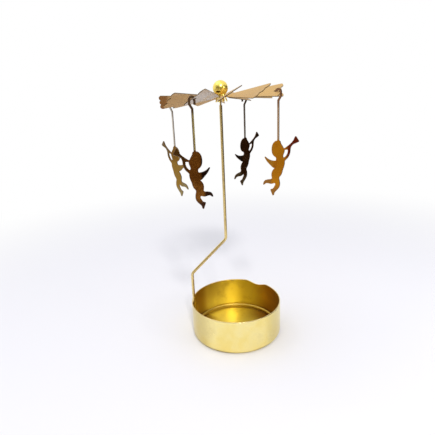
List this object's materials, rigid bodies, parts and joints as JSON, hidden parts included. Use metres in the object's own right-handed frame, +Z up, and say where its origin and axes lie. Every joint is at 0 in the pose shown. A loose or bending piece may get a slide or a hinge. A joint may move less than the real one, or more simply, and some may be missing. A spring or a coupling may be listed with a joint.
{
  "type": "angel chime carousel",
  "caption": "Brass candle cup with a bent wire stand whose needle point carries a bladed rotor and hanging angels, turned by the warm air of a tealight.",
  "frame": {"origin": "centre of the cup's underside, where the carousel stands", "axes": "+Z up along the cup's axis; -X from the cup's centre to the wire's leg"},
  "size_m": [0.078, 0.0781, 0.1645],
  "materials": {
    "cup_brass": "drawn brass sheet, softly polished",
    "wire_brass": "bright drawn brass wire",
    "rotor_brass": "thin rolled brass sheet, bright",
    "knob_brass": "polished brass ball",
    "angel_brass": "stamped mirror-bright brass sheet"
  },
  "bodies": {
    "stand": {"candle_cup": "cup_brass", "stand_wire": "wire_brass"},
    "rotor": {"rotor_fan": "rotor_brass", "bearing_knob": "knob_brass"},
    "angel_1": {"angel_1": "angel_brass"},
    "angel_2": {"angel_2": "angel_brass"},
    "angel_3": {"angel_3": "angel_brass"},
    "angel_4": {"angel_4": "angel_brass"}
  },
  "joints": [
    {"name": "rotor_spin", "type": "hinge", "parent": "stand", "child": "rotor", "pos_m": [-0.0051, 0, 0.16372], "axis": [0, 0, 1], "continuous": true},
    {"name": "angel_1_swing", "type": "hinge", "parent": "rotor", "child": "angel_1", "pos_m": [-0.02192, -0.03032, 0.1542], "axis": [-0.6293, 0.7771, 0], "range_deg": [-15, 40]},
    {"name": "angel_2_swing", "type": "hinge", "parent": "rotor", "child": "angel_2", "pos_m": [0.02532, -0.01759, 0.15622], "axis": [-0.7771, -0.6293, 0], "range_deg": [-15, 40]},
    {"name": "angel_3_swing", "type": "hinge", "parent": "rotor", "child": "angel_3", "pos_m": [0.01269, 0.02966, 0.1539], "axis": [0.6293, -0.7771, 0], "range_deg": [-15, 40]},
    {"name": "angel_4_swing", "type": "hinge", "parent": "rotor", "child": "angel_4", "pos_m": [-0.03455, 0.01694, 0.15188], "axis": [0.7771, 0.6293, 0], "range_deg": [-15, 40]}
  ]
}
